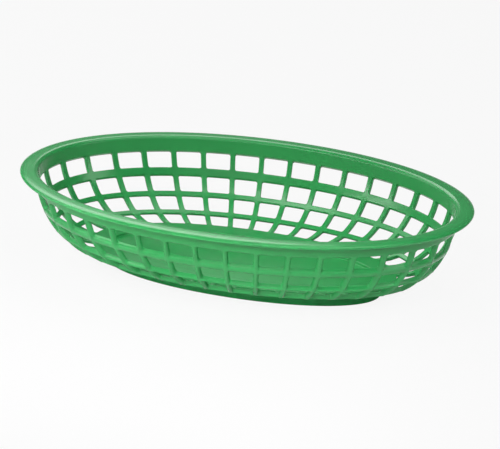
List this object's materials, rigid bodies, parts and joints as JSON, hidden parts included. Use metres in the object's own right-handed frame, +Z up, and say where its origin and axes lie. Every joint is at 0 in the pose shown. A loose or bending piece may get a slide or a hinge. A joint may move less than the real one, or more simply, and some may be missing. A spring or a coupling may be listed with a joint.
{
  "type": "oval basket",
  "caption": "Oval open-lattice serving basket with a flanged rim, a plain band, rows of windows in a bowl-shaped wall, a foot ring and a closed, sunken floor.",
  "frame": {"origin": "on the table, under the middle of the basket", "axes": "+X along the basket's length, +Y across it, +Z up"},
  "size_m": [0.238, 0.154, 0.0484],
  "materials": {
    "green_plastic": "semi-gloss moulded polypropylene"
  },
  "bodies": {
    "root": {"rim_flange": "green_plastic", "rim_band": "green_plastic", "lattice_upper_hoop": "green_plastic", "lattice_middle_hoop": "green_plastic", "lattice_lower_hoop": "green_plastic", "lattice_floor_ring": "green_plastic", "foot_ring": "green_plastic", "floor_panel": "green_plastic"}
  },
  "joints": []
}
